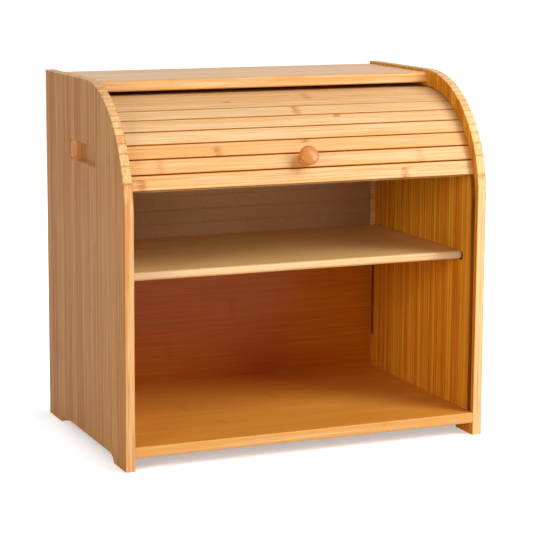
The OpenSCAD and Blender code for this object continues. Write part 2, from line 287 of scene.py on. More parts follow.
def board(outline, low_x, high_x, rim, recesses=()):
    """A board cut to an outline in depth and height, between two faces across the width.

    Its rims are quarter rounds: at the angle t the outline is moved in by rim * (1 - sin t) and sunk by
    rim * (1 - cos t). Each recess (side, outline, depth) sinks into a face by the same quarter rounds, with
    an eased edge and a small fillet round its floor. Returns places, normals, quads and triangles.
    """
    t = np.linspace(0, np.pi / 2, RIM_ROWS)[:, None]
    rows = 2 * RIM_ROWS
    ease, fillet = 0.7 * MM, 0.3 * MM
    inset = -rim * (1 - np.sin(t))
    sunk = rim * (1 - np.cos(t))
    low = carried_rings(outline, low_x, 1, inset, sunk, t)
    high = carried_rings(outline, high_x, -1, inset[::-1], sunk[::-1], t[::-1])
    columns = len(outline[0])
    parts = [low, high]
    quads = [skin_between(0, rows, columns)]
    caps = {-1: [np.arange(columns)], 1: [np.arange(columns) + (rows - 1) * columns]}
    floors = []
    first = rows * columns
    out = np.concatenate([ease * (1 - np.sin(t)), -fillet * (1 - np.cos(t))])
    lean = np.concatenate([-t, t - np.pi / 2])
    for side, hole, depth in recesses:
        down = np.concatenate([ease * (1 - np.cos(t)), depth - fillet * (1 - np.sin(t))])
        face = low_x if side < 0 else high_x
        parts.append(carried_rings(hole, face, -side, out, down, lean))
        columns = len(hole[0])
        quads.append(skin_between(first, rows, columns))
        caps[side].append(np.arange(columns) + first)
        floors.append([np.arange(columns) + first + (rows - 1) * columns])
        first += rows * columns
    places = np.concatenate([part[0].reshape(-1, 3) for part in parts])
    normals = np.concatenate([part[1].reshape(-1, 3) for part in parts])
    triangles = [flat_cap(places, loops) for loops in [*caps.values(), *floors]]
    return places, normals, np.concatenate(quads), np.concatenate(triangles)


def knob_profile(knob):
    """Points (radius, height): foot with a rounded rim, hollowed neck, head with a domed face.

    The neck is half an ellipse's hollow, the head's side half a circle, and its face rises towards the
    middle by dome * (1 - r * r), where r is 1 at the face's rim.
    """
    head, foot, neck = knob.head / 2, knob.foot / 2, knob.neck / 2
    flare = np.linspace(0, np.pi, 15)
    belly = np.linspace(-np.pi / 2, np.pi / 2, 17)
    crown = 1 - np.linspace(0, 1, 12)[1:]
    rim, dome = 3.7 * MM, 1.0 * MM
    foot_high, head_low = 3.0 * MM, knob.height - 8.4 * MM
    hollow = (head_low - foot_high) / 2
    waist = 0.55 * hollow
    return np.concatenate([
        [(0, 0), (foot - 0.3 * MM, 0), (foot, 0.4 * MM), (foot, foot_high - 0.9 * MM)],
        [(foot - 0.3 * MM, foot_high - 0.25 * MM), (foot - 1.0 * MM, foot_high)],
        np.stack([neck + waist * (1 - np.sin(flare)), foot_high + hollow * (1 - np.cos(flare))], 1),
        np.stack([head - rim * (1 - np.cos(belly)), head_low + rim * (1 + np.sin(belly))], 1),
        np.stack([(head - rim) * crown, knob.height - dome * crown ** 2], 1),
    ])


def turned_surface(profile, base, outward, upward, steps):
    """A profile turned about an axis: base + height * outward + radius * (cos, sin) of the angle round it.

    The profile's first and last points lie on the axis, and each is joined to its ring by triangles.
    """
    angle = np.arange(steps) * 2 * np.pi / steps
    around = np.outer(np.cos(angle), (1, 0, 0)) + np.outer(np.sin(angle), upward)
    inner = profile[1:-1]
    rings = inner[:, None, :1] * around + inner[:, 1, None, None] * outward + base
    poles = base + np.outer(profile[[0, -1], 1], outward)
    places = np.concatenate([rings.reshape(-1, 3), poles])
    count = len(inner) * steps
    first = np.arange(steps)
    end = first + count - steps
    bottom = np.stack([first, np.roll(first, -1), np.full(steps, count)], 1)
    top = np.stack([end, np.roll(end, -1), np.full(steps, count + 1)], 1)
    return places, None, skin_between(0, len(inner), steps), np.concatenate([bottom, top])


def seat(way):
    """Places and directions on the line that the slats' inner faces follow.

    It runs up round the front curve, back under the top panel, down round the rear curve and straight down.
    Returns depth, height and the angle turned from straight up, for each distance along it.
    """
    door = bpy.context.scene.bread_door
    way = np.asarray(way, float)
    seat_in = door.gap + door.slat_thickness
    front, rear = door.front_radius - seat_in, door.rear_radius - seat_in
    front_y, front_z = door.lip + door.front_radius, door.track_top - door.front_radius
    rear_y = door.track_rear - door.rear_radius
    up, back, down = front * np.pi / 2, rear_y - front_y, rear * np.pi / 2
    a = np.clip(way / front, 0, np.pi / 2)
    b = np.clip((way - up - back) / rear, 0, np.pi / 2)
    run = np.clip(way - up, 0, back)
    fall = np.clip(way - up - back - down, 0, None)
    depth = front_y - front * np.cos(a) + run + rear * np.sin(b)
    height = front_z + front * np.sin(a) - rear * (1 - np.cos(b)) - fall
    return depth, height, a + b


def slat_place(number):
    """Depth, height and turn of a slat's seat, counted from the door's lower edge."""
    door = bpy.context.scene.bread_door
    return (float(value) for value in seat(door.door_edge + (number - 0.5) * door.pitch))


# ---- pieces ---------------------------------------------------------------


def slat_names(number):
    """A slat's node, and the body that carries it."""
    node = f"slat_{number:02d}"
    return node, "door_handle_slat" if number == HANDLE_SLAT else f"door_{node}"


def tinted(share, shade_tint):
    """What painted shade leaves of each colour: all where its share is 0, and the shade where it is 1."""
    return 1 + np.reshape(share, (-1, 1)) * (np.array(shade_tint) - 1)


def make_piece(name, surface, grain, tone, shade_tint, material, body, node):
    """A closed mesh that rides on a body and stands for a CAD node, with exact normals where it has them.

    Its attributes are grain, in metres, tone, from paler below 0 to deeper above it, and shade_tint, the
    painted shade by which the wood's own colour is multiplied.
    """
    places, normals, quads, triangles = surface
    mesh = bpy.data.meshes.new(name)
    mesh.from_pydata(places.tolist(), [], quads.tolist() + triangles.tolist(), shade_flat=False)
    shell = bmesh.new()
    shell.from_mesh(mesh)
    bmesh.ops.recalc_face_normals(shell, faces=shell.faces)
    shell.to_mesh(mesh)
    shell.free()
    for label, kind, field, values in (
        ("grain", "FLOAT_VECTOR", "vector", grain),
        ("tone", "FLOAT", "value", np.zeros(len(places)) + tone),
        ("shade_tint", "FLOAT_VECTOR", "vector", np.ones((len(places), 3)) * shade_tint),
    ):
        attribute = mesh.attributes.new(label, kind, "POINT")
        attribute.data.foreach_set(field, np.ascontiguousarray(values, np.float32).ravel())
    mesh.materials.append(material)
    if normals is not None:
        mesh.normals_split_custom_set_from_vertices(normals.tolist())
    piece = bpy.data.objects.new(name, mesh)
    bpy.context.scene.collection.objects.link(piece)
    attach(piece, body)
    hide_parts(node)
    return piece


# ---- finishes -------------------------------------------------------------


def add(tree, kind, inputs=None, **settings):
    """Adds a node of a kind, with its settings, and gives each named input a value or a link.

    A node given as an input stands for its first output.
    """
    node = tree.nodes.new(kind)
    for setting, value in settings.items():
        setattr(node, setting, value)
    for socket, value in (inputs or {}).items():
        if isinstance(value, bpy.types.Node):
            value = value.outputs[0]
        if isinstance(value, bpy.types.NodeSocket):
            tree.links.new(value, node.inputs[socket])
        else:
            node.inputs[socket].default_value = value
    return node


def new_material(name):
    """An empty material and its node tree."""
    material = bpy.data.materials.new(name)
    material.use_nodes = True
    material.node_tree.nodes.clear()
    return material, material.node_tree


def opaque(shade, share=1.0):
    """A colour with its alpha, each level times a share and never over 1."""
    return (*(min(1.0, share * level) for level in shade), 1.0)


def drawn_out(tree, grain, long, wide, detail, roughness=0.5):
    """Noise in spots of a length along the wood and of a width across and through it, in metres."""
    stretch = add(tree, "ShaderNodeVectorMath", {
        0: grain, 1: (1 / long, 1 / wide, 1 / wide)}, operation="MULTIPLY")
    return add(tree, "ShaderNodeTexNoise", {
        "Vector": stretch, "Scale": 1.0, "Detail": detail, "Roughness": roughness})


def cane_strips(tree, grain, across, through, strip, layer):
    """The count of strips across the wood, with its fraction, and three random values for each strip.

    The whole part of the distance across, in strip widths, and that of the distance through, in layers,
    name a strip. The strips waver by less than 1.2 mm.
    """
    waver = add(tree, "ShaderNodeTexNoise", {"Vector": grain, "Scale": 9.0, "Detail": 1.0})
    drift = add(tree, "ShaderNodeMath", {
        0: waver, 1: 1.2 * MM / strip, 2: 0.37}, operation="MULTIPLY_ADD")
    count = add(tree, "ShaderNodeMath", {0: across, 1: 1 / strip, 2: drift}, operation="MULTIPLY_ADD")
    layers = add(tree, "ShaderNodeMath", {0: through, 1: 1 / layer}, operation="MULTIPLY")
    which = add(tree, "ShaderNodeMath", {0: count}, operation="FLOOR")
    level = add(tree, "ShaderNodeMath", {0: layers}, operation="FLOOR")
    chosen = add(tree, "ShaderNodeCombineXYZ", {0: which, 1: level, 2: 3.0})
    dice = add(tree, "ShaderNodeTexWhiteNoise", {"Vector": chosen})
    return count, add(tree, "ShaderNodeSeparateColor", {0: dice.outputs["Color"]}).outputs


def fibre_tones(tree, grain, strip_tone, tone, spread):
    """The fibres, and the wood's tone from 0, pale, to 1, deep.

    Fibres are about 0.9 mm apart and 60 mm long, and broader streaks 2 mm apart and 200 mm long. The tone is
    their deviations from the mean with the strip's own, about a middle, and the piece's own is added.
    """
    fibre_share, streak_share, middle = 2.8, 1.9, 0.45
    fibres = drawn_out(tree, grain, 60 * MM, 0.9 * MM, 2.0, 0.6)
    streaks = drawn_out(tree, grain, 200 * MM, 2 * MM, 1.0)
    part_fibre = add(tree, "ShaderNodeMath", {
        0: fibres, 1: fibre_share, 2: middle - fibre_share / 2}, operation="MULTIPLY_ADD")
    part_streak = add(tree, "ShaderNodeMath", {
        0: streaks, 1: streak_share, 2: part_fibre}, operation="MULTIPLY_ADD")
    part_strip = add(tree, "ShaderNodeMath", {
        0: strip_tone, 1: spread, 2: part_streak}, operation="MULTIPLY_ADD")
    centred = add(tree, "ShaderNodeMath", {
        0: part_strip, 1: (streak_share + spread) / 2}, operation="SUBTRACT")
    return fibres, add(tree, "ShaderNodeMath", {0: centred, 1: tone}, operation="ADD", use_clamp=True)


def knuckles(tree, grain, along, start, rarity, marks):
    """How far knuckles show: one each 280 mm of a strip, at a place of its own, a ragged feathered band.

    The band's middle wanders by some 2 mm from fibre to fibre, and it fades 7 mm to either side.
    """
    spacing = 280 * MM
    wander = 8.4 * MM / spacing
    phase = add(tree, "ShaderNodeMath", {0: along, 1: 1 / spacing, 2: start}, operation="MULTIPLY_ADD")
    beat = add(tree, "ShaderNodeMath", {0: phase}, operation="FRACT")
    offset = add(tree, "ShaderNodeMath", {0: beat, 1: 0.5}, operation="SUBTRACT")
    frayed = drawn_out(tree, grain, 5 * MM, 1.6 * MM, 1.0)
    ragged = add(tree, "ShaderNodeMath", {
        0: frayed, 1: wander, 2: -wander / 2}, operation="MULTIPLY_ADD")
    torn = add(tree, "ShaderNodeMath", {0: offset, 1: ragged}, operation="ADD")
    away = add(tree, "ShaderNodeMath", {0: torn}, operation="ABSOLUTE")
    band = add(tree, "ShaderNodeMapRange", {
        "Value": away, "From Min": 0.28 * MM / spacing, "From Max": 7 * MM / spacing,
        "To Min": 1.0, "To Max": 0.0}, interpolation_type="SMOOTHSTEP")
    rare = add(tree, "ShaderNodeMapRange", {
        "Value": rarity, "From Min": 0.3, "From Max": 1.0, "To Min": 0.0, "To Max": marks})
    broken = add(tree, "ShaderNodeMath", {0: band, 1: frayed}, operation="MULTIPLY")
    return add(tree, "ShaderNodeMath", {0: broken, 1: rare}, operation="MULTIPLY")


def glue_lines(tree, count, strip, seam):
    """How far glue lines show, where one strip meets the next.

    Real ones are 0.2 mm wide, and these fade over 0.7 mm to either side so that they show.
    """
    place = add(tree, "ShaderNodeMath", {0: count}, operation="FRACT")
    middle = add(tree, "ShaderNodeMath", {0: place, 1: 0.5}, operation="SUBTRACT")
    edge = add(tree, "ShaderNodeMath", {0: middle}, operation="ABSOLUTE")
    return add(tree, "ShaderNodeMapRange", {
        "Value": edge, "From Min": 0.5 - 0.7 * MM / strip, "From Max": 0.5,
        "To Min": 0.0, "To Max": seam})


def laminated_bamboo(name, pale, deep, strip, layer, spread, marks, seam, gloss):
    """Laminated bamboo: strips of split cane glued side by side, planed, sanded and satin lacquered.

    The eye gets even parallel strips of slightly different honey tones, fine straight fibres along them,
    hair-thin glue lines, and now and then the darker knuckle of the cane across one strip. Lacquer adds a
    soft sheen. The grain attribute holds metres along, across and through the wood. strip and layer are a
    strip's width and thickness, spread is how far strips differ, marks is how dark a knuckle may be, seam
    is how dark a glue line is, and gloss is how strongly the lacquer shines.
    """
    finish = bpy.context.scene.bread_finish
    material, tree = new_material(name)
    grain = add(tree, "ShaderNodeAttribute", attribute_name="grain").outputs["Vector"]
    tone = add(tree, "ShaderNodeAttribute", attribute_name="tone").outputs["Fac"]
    shade_tint = add(tree, "ShaderNodeAttribute", attribute_name="shade_tint").outputs["Color"]
    along, across, through = add(tree, "ShaderNodeSeparateXYZ", {0: grain}).outputs
    count, (strip_tone, start, rarity) = cane_strips(tree, grain, across, through, strip, layer)
    fibres, mellow = fibre_tones(tree, grain, strip_tone, tone, spread)
    mark = knuckles(tree, grain, along, start, rarity, marks)
    line = glue_lines(tree, count, strip, seam)
    wood = add(tree, "ShaderNodeMix", {
        MIX_BY: mellow, MIX_FROM: opaque(pale), MIX_TO: opaque(deep)}, data_type="RGBA")
    # Painted shade darkens the faces inside the box, the slats' seams and the side panels' grooves, and
    # dulls the side panels' outer faces. The painted shade, the knuckles and the glue lines each leave
    # a part of the colour
    for share, left in ((1.0, shade_tint), (mark, opaque(finish.knuckle)), (line, opaque(finish.joint))):
        wood = add(tree, "ShaderNodeMix", {
            MIX_BY: share, MIX_FROM: wood.outputs[MIXED], MIX_TO: left},
            data_type="RGBA", blend_type="MULTIPLY")
    rough = add(tree, "ShaderNodeMapRange", {"Value": fibres, "To Min": 0.36, "To Max": 0.52})
    relief = add(tree, "ShaderNodeBump", {
        "Height": fibres, "Strength": 0.35, "Distance": 0.12 * MM})
    surface = add(tree, "ShaderNodeBsdfPrincipled", {
        "Base Color": wood.outputs[MIXED], "Roughness": rough, "IOR": 1.5,
        "Specular IOR Level": gloss, "Coat Weight": 0.4 * gloss, "Coat Roughness": 0.22,
        "Normal": relief})
    add(tree, "ShaderNodeOutputMaterial", {"Surface": surface})
    return material


def turned_wood(name, shade):
    """Lacquered beech: turned on a lathe, sanded and dipped in gloss lacquer.

    The eye gets a warm even orange-brown with faint streaks, and round soft highlights from the lacquer.
    """
    material, tree = new_material(name)
    grain = add(tree, "ShaderNodeAttribute", attribute_name="grain").outputs["Vector"]
    streaks = drawn_out(tree, grain, 20 * MM, 1.6 * MM, 3.0)
    wood = add(tree, "ShaderNodeMix", {
        MIX_BY: streaks, MIX_FROM: opaque(shade, 1.12), MIX_TO: opaque(shade, 0.62)}, data_type="RGBA")
    relief = add(tree, "ShaderNodeBump", {
        "Height": streaks, "Strength": 0.15, "Distance": 0.1 * MM})
    surface = add(tree, "ShaderNodeBsdfPrincipled", {
        "Base Color": wood.outputs[MIXED], "Roughness": 0.45, "IOR": 1.5,
        "Coat Weight": 0.25, "Coat Roughness": 0.22, "Normal": relief})
    add(tree, "ShaderNodeOutputMaterial", {"Surface": surface})
    return material


def raw_dowel(name, shade):
    """Raw beech dowel: turned and fluted rod without lacquer, so that it is dry and matt.

    The eye gets a pale wood with short dark flecks along the rod, which lies across the width.
    """
    material, tree = new_material(name)
    place = add(tree, "ShaderNodeTexCoord").outputs["Object"]
    flecks = drawn_out(tree, place, 4 * MM, 0.5 * MM, 2.0)
    wood = add(tree, "ShaderNodeMix", {
        MIX_BY: flecks, MIX_FROM: opaque(shade), MIX_TO: opaque(shade, 0.7)}, data_type="RGBA")
    relief = add(tree, "ShaderNodeBump", {
        "Height": flecks, "Strength": 0.3, "Distance": 0.1 * MM})
    surface = add(tree, "ShaderNodeBsdfPrincipled", {
        "Base Color": wood.outputs[MIXED], "Roughness": 0.75, "Normal": relief})
    add(tree, "ShaderNodeOutputMaterial", {"Surface": surface})
    return material


def zinc_plate(name, shade):
    """Zinc-plated steel: cold-headed, bright plated and passivated.

    The eye gets a pale grey metal with a soft cloudiness of some 2 mm in its gloss.
    """
    material, tree = new_material(name)
    place = add(tree, "ShaderNodeTexCoord").outputs["Object"]
    clouds = add(tree, "ShaderNodeTexNoise", {"Vector": place, "Scale": 500.0, "Detail": 2.0})
    rough = add(tree, "ShaderNodeMapRange", {"Value": clouds, "To Min": 0.25, "To Max": 0.5})
    metal = add(tree, "ShaderNodeMix", {
        MIX_BY: clouds, MIX_FROM: opaque(shade), MIX_TO: opaque(shade, 0.8)}, data_type="RGBA")
    surface = add(tree, "ShaderNodeBsdfPrincipled", {
        "Base Color": metal.outputs[MIXED], "Metallic": 1.0, "Roughness": rough})
    add(tree, "ShaderNodeOutputMaterial", {"Surface": surface})
    return material


def cotton_canvas(name, shade, thread):
    """Unbleached cotton canvas: plain woven, one thread over and one under, glued to the slats.

    The eye gets a dull cream cloth, darker in the box's shade, with a small regular weave and a crease at
    each gap between slats. The weave's hollows and the creases are painted shade. The weave is drawn at
    the thread property's spacing, coarser than the real 0.5 mm so that it shows. The grain attribute holds
    metres along the width, metres along the door, and the distance from a crease.
    """
    material, tree = new_material(name)
    grain = add(tree, "ShaderNodeAttribute", attribute_name="grain").outputs["Vector"]
    width, way, from_crease = add(tree, "ShaderNodeSeparateXYZ", {0: grain}).outputs
    warp = add(tree, "ShaderNodeMath", {0: width, 1: np.pi / thread}, operation="MULTIPLY")
    weft = add(tree, "ShaderNodeMath", {0: way, 1: np.pi / thread}, operation="MULTIPLY")
    warp_wave = add(tree, "ShaderNodeMath", {0: warp}, operation="SINE")
    weft_wave = add(tree, "ShaderNodeMath", {0: weft}, operation="SINE")
    over = add(tree, "ShaderNodeMath", {0: warp_wave, 1: weft_wave}, operation="MULTIPLY")
    raised = add(tree, "ShaderNodeMath", {0: over}, operation="ABSOLUTE")
    slubs = add(tree, "ShaderNodeTexNoise", {"Vector": grain, "Scale": 300.0, "Detail": 3.0})
    # Painted shade darkens the cloth along each crease
    crease = add(tree, "ShaderNodeMapRange", {
        "Value": from_crease, "From Min": 0.0, "From Max": 1.2 * MM, "To Min": 0.85, "To Max": 1.0})
    # Painted shade: the weave's hollows are darker than its raised threads
    lift = add(tree, "ShaderNodeMath", {0: raised, 1: 0.3, 2: 0.55}, operation="MULTIPLY_ADD")
    mottle = add(tree, "ShaderNodeMath", {0: slubs, 1: 0.5, 2: lift}, operation="MULTIPLY_ADD")
    level = add(tree, "ShaderNodeMath", {0: mottle, 1: crease}, operation="MULTIPLY", use_clamp=True)
    cloth = add(tree, "ShaderNodeMix", {
        MIX_BY: level, MIX_FROM: opaque(shade, 0.35), MIX_TO: opaque(shade)}, data_type="RGBA")
    relief = add(tree, "ShaderNodeBump", {
        "Height": raised, "Strength": 0.5, "Distance": 0.3 * MM})
    surface = add(tree, "ShaderNodeBsdfPrincipled", {
        "Base Color": cloth.outputs[MIXED], "Roughness": 0.9, "Sheen Weight": 0.3,
        "Sheen Roughness": 0.5, "Normal": relief})
    add(tree, "ShaderNodeOutputMaterial", {"Surface": surface})
    return material


def shown(tree):
    """1 where the camera sees a thing, also in a gloss or through glass, and 0 for the light it sheds."""
    path = add(tree, "ShaderNodeLightPath")
    direct = add(tree, "ShaderNodeMath", {
        0: path.outputs["Is Camera Ray"], 1: path.outputs["Is Glossy Ray"]}, operation="MAXIMUM")
    return add(tree, "ShaderNodeMath", {
        0: direct, 1: path.outputs["Is Transmission Ray"]}, operation="MAXIMUM")


def painted_board(name):
    """Painted board: rolled with matt white emulsion.

    Where the camera sees it, it glows just enough to clip to white out of the shadow. The glow is a pool of
    light that rises to white over the first centimetres away from the box's base.
    """
    material, tree = new_material(name)
    plain = add(tree, "ShaderNodeBsdfDiffuse", {"Color": (0.8, 0.8, 0.8, 1.0)})
    shaded = add(tree, "ShaderNodeBsdfDiffuse", {"Color": (0.9, 0.9, 0.9, 1.0)})
    place = add(tree, "ShaderNodeTexCoord").outputs["Object"]
    base = (-SIDE_LOW.x - 10 * MM, DEPTH / 2 - 10 * MM, 0.0)
    mirrored = add(tree, "ShaderNodeVectorMath", {0: place}, operation="ABSOLUTE")
    beyond = add(tree, "ShaderNodeVectorMath", {0: mirrored, 1: base}, operation="SUBTRACT")
    outside = add(tree, "ShaderNodeVectorMath", {0: beyond, 1: (0.0, 0.0, 0.0)}, operation="MAXIMUM")
    apart = add(tree, "ShaderNodeVectorMath", {0: outside}, operation="LENGTH")
    brighten = add(tree, "ShaderNodeMapRange", {
        "Value": apart.outputs["Value"], "From Min": 0.0, "From Max": 70 * MM,
        "To Min": 0.4, "To Max": 1.0})
    glow = add(tree, "ShaderNodeEmission", {"Color": (0.96, 0.98, 1.0, 1.0), "Strength": brighten})
    lit = add(tree, "ShaderNodeAddShader", {0: shaded, 1: glow})
    both = add(tree, "ShaderNodeMixShader", {0: shown(tree), 1: plain, 2: lit})
    add(tree, "ShaderNodeOutputMaterial", {"Surface": both})
    return material


def even_light(name, ambient):
    """A world that is white to the camera and lights the box evenly with a strength of ambient."""
    world = bpy.data.worlds.new(name)
    world.use_nodes = True
    tree = world.node_tree
    tree.nodes.clear()
    strength = add(tree, "ShaderNodeMath", {
        0: shown(tree), 1: 1 - ambient, 2: ambient}, operation="MULTIPLY_ADD")
    sky = add(tree, "ShaderNodeBackground", {"Color": (1.0, 1.0, 1.0, 1.0), "Strength": strength})
    add(tree, "ShaderNodeOutputWorld", {"Surface": sky})
    return world


# ---- operators ------------------------------------------------------------


class MakeSidePanels(bpy.types.Operator):
    """Cut the two side panels with their pockets, dadoes and door tracks"""

    bl_idname = "bread_box.side_panels"
    bl_label = "Side panels"

    def execute(self, context):
        case = context.scene.bread_case
        door = context.scene.bread_door
        finish = context.scene.bread_finish
        plain, ease = case.sharp_edge, 0.3 * MM
        foot, lift = case.foot_front, case.foot_height
        heel = DEPTH - case.foot_rear
        panel = case_outline([
            (0, 0, plain), (foot, 0, plain), (foot + case.foot_slope, lift, case.foot_end),
            (heel - case.foot_slope, lift, case.foot_end), (heel, 0, plain), (DEPTH, 0, plain),
            (DEPTH, HEIGHT, plain), (0, HEIGHT, case.corner),
        ])
        # The long edges in front, over the curve and on top have a larger rounding than the sanded ones
        rounded = (panel[0][:, 0] < FRONT + case.corner) & (panel[0][:, 1] > lift)
        rounded |= panel[0][:, 1] > HEIGHT - plain / 4
        rim = np.where(rounded, case.side_edge, plain)
        # The dado runs on in front of the shelf and ends in nearly half a circle
        lead = SHELF_LOW.y - FRONT - case.dado_lead
        nose = 0.98 * (SHELF_HIGH.z - SHELF_LOW.z) / 2
        dado = case_outline(oblong(
            lead, SHELF_HIGH.y - FRONT, SHELF_LOW.z, SHELF_HIGH.z, nose, ease, ease, nose
        ))
        # The track's outer wall turns tighter at the rear, which leaves the slats room there
        out, back, top = door.lip, door.track_rear, door.track_top
        wide, room = door.groove, 2 * MM
        start, end = BOTTOM_HIGH.z, door.track_end
        track = case_outline([
            (out, start, ease), (out + wide, start, ease),
            (out + wide, top - wide, door.front_radius - wide),
            (back - wide, top - wide, door.rear_radius - wide),
            (back - wide, end, ease), (back, end, ease),
            (back, top, door.rear_radius - room), (out, top, door.front_radius),
        ])
        middle, level = DEPTH / 2, case.pocket_level
        reach, rise = case.pocket_length / 2, case.pocket_height / 2
        pocket = case_outline(oblong(
            middle - reach, middle + reach, level - rise, level + rise, *4 * [case.pocket_corner]
        ))
        bamboo = laminated_bamboo(
            "laminated_bamboo_upright", finish.side_pale, finish.side_deep, finish.strip, 1.0,
            spread=1.1, marks=0.5, seam=0.65, gloss=0.04,
        )
        for name, side in (("left_side_panel", -1), ("right_side_panel", 1)):
            low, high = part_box(name)
            recesses = [
                (side, pocket, case.pocket_depth),
                (-side, dado, case.dado_depth),
                (-side, track, door.groove_depth),
            ]
            surface = board(panel, low.x, high.x, rim, recesses)
            # Each panel is cut from another place of the laminate
            grain = surface[0][:, [2, 1, 0]] + (0.4 * side, 0.9 * side, 0.0)
            facing = side * surface[1][:, 0]
            # The points of the dado and the track come after the outline's and the pocket's, and take
            # painted shade below the panel's face
            face = high.x if side < 0 else low.x
            rows, ring = 2 * RIM_ROWS, len(pocket[0])
            first = rows * len(panel[0])
            groove_shade = np.arange(len(facing)) >= first + rows * ring
            groove_shade &= abs(surface[0][:, 0] - face) > 0.01 * MM
            # Painted shade: faces inside the box are darkened, and outer faces dulled and darkened
            shade_tint = tinted(np.clip(-facing, 0, 1), finish.inner_shade) * tinted(np.clip(facing, 0, 1), finish.tan)
            # Painted shade: the walls of the tracks and dadoes are darkened fully, their floors by half
            shade_tint *= tinted(groove_shade * (1 - 0.5 * abs(facing)), finish.groove_shade)
            # Painted shade darkens the pocket's eased edge, its second to fourth rows, which outlines it
            pocket_edge_shade = 0.65
            shade_tint[first + ring:first + 4 * ring] *= pocket_edge_shade
            # Painted light: the edges are paler than the faces, the right panel's more than the left one's
            painted_edge_light = -0.4 - 0.3 * side
            tone = painted_edge_light * np.where(groove_shade, 0, 1 - abs(facing))
            make_piece(name + "_wood", surface, grain, tone, shade_tint, bamboo, "root", name)
        return {"FINISHED"}


class MakeBoards(bpy.types.Operator):
    """Plane the bottom panel, shelf, top panel and back panel"""

    bl_idname = "bread_box.boards"
    bl_label = "Boards between the sides"

    def execute(self, context):
        case = context.scene.bread_case
        finish = context.scene.bread_finish
        plain, ease, plan_corner = case.sharp_edge, 0.3 * MM, 2.8 * MM
        bamboo = laminated_bamboo(
            "laminated_bamboo_boards", finish.pale, finish.deep, 4 * finish.strip, 4 * MM,
            spread=0.5, marks=0.5, seam=0.2, gloss=0.25,
        )
        # Each board's nose roundings, its tone, which way its inner faces look as (depth, height), and how
        # strongly painted shade darkens them. The shelf's paler tone is painted light on its top
        boards = {
            "bottom_panel": (BOTTOM_LOW, BOTTOM_HIGH, case.bottom_nose, case.bottom_nose, 0.6, (0, 1), 0.4),
            "shelf": (SHELF_LOW, SHELF_HIGH, case.shelf_nose, case.shelf_nose, -0.45, (0, 1), 0.15),
            "top_panel": (TOP_LOW, TOP_HIGH, case.top_lip, case.top_nose, 0.1, (0, -1), 2.0),
            "back_panel": (BACK_LOW, BACK_HIGH, plain, plain, 0.2, (-1, 0), 2.0),
        }
        for number, (name, choices) in enumerate(boards.items()):
            low, high, nose_low, nose_high, tone, inward, strength = choices
            section = case_outline(oblong(
                low.y - FRONT, high.y - FRONT, low.z, high.z, nose_low, plain, plain, nose_high
            ))
            # The shelf's front corners are rounded in plan too, where its ends enter the dadoes
            cornered = (section[0][:, 0] < low.y + nose_low) & (name == "shelf")
            surface = board(section, low.x, high.x, np.where(cornered, plan_corner, ease))
            # The grain runs across the width, and each board is cut from another place of the laminate
            order = [0, 2, 1] if name == "back_panel" else [0, 1, 2]
            grain = surface[0][:, order] + (0.61 * number, 0.37 * number, 0.0)
            facing = surface[1][:, 1:] @ inward
            shade_tint = tinted(np.clip(facing, 0, 1) ** 4, finish.inner_shade) ** strength
            if name == "shelf":
                # Its underside sees no light, and painted shade darkens it fully
                shade_tint *= tinted(np.clip(-facing, 0, 1) ** 4, finish.inner_shade)
            make_piece(name + "_wood", surface, grain, tone, shade_tint, bamboo, "root", name)
        return {"FINISHED"}


class MakeSlats(bpy.types.Operator):
    """Mill the slats of the roll-top door"""

    bl_idname = "bread_box.slats"
    bl_label = "Door slats"

    def execute(self, context):
        door = context.scene.bread_door
        finish = context.scene.bread_finish
        # Strips are twice as wide as a slat, and each slat is cut two and a half strips on from the last
        strip = 2 * door.slat_width
        bamboo = laminated_bamboo(
            "laminated_bamboo_slats", finish.pale, finish.deep, strip, 20 * MM,
            spread=0.2, marks=1.7, seam=0.3, gloss=0.35,
        )
        half, ease = door.slat_width / 2, 0.3 * MM
        points, normal = rounded_outline(oblong(
            -half, half, 0, door.slat_thickness, ease, ease, door.slat_edge, door.slat_edge
        ))
        # The tones are random, but for the eight slats that show, which follow the photograph. The eighth's
        # deeper tone is painted shade under the top panel
        chance = np.random.default_rng(27)
        tones = chance.uniform(-0.15, 0.35, SLAT_COUNT)
        tones[:8] = (0.3, 0.55, 0.5, -0.15, -0.1, -0.05, 0.0, 0.2)
        end_ease, seam_shade = 0.4 * MM, 1.5
        for number in range(1, SLAT_COUNT + 1):
            depth, height, turn = slat_place(number)
            # The section's first axis runs up the door and its second stands out of it
            axes = np.array([[np.sin(turn), np.cos(turn)], [-np.cos(turn), np.sin(turn)]])
            outline = points @ axes + (FRONT + depth, height), normal @ axes
            surface = board(outline, SLAT_LOW.x, SLAT_HIGH.x, end_ease)
            local = (surface[0][:, 1:] - (FRONT + depth, height)) @ axes.T
            grain = np.column_stack([surface[0][:, 0], local])
            grain += (chance.uniform(0, 3), number * 2.5 * strip, chance.uniform(0, 1))
            name, body = slat_names(number)
            tone = tones[number - 1]
            # Painted shade darkens the long edges that face the next slat, which draws the seams
            shade_tint = tinted((surface[1][:, 1:] @ axes[0]) ** 2, finish.inner_shade) ** seam_shade
            make_piece(name + "_wood", surface, grain, tone, shade_tint, bamboo, body, name)
        return {"FINISHED"}


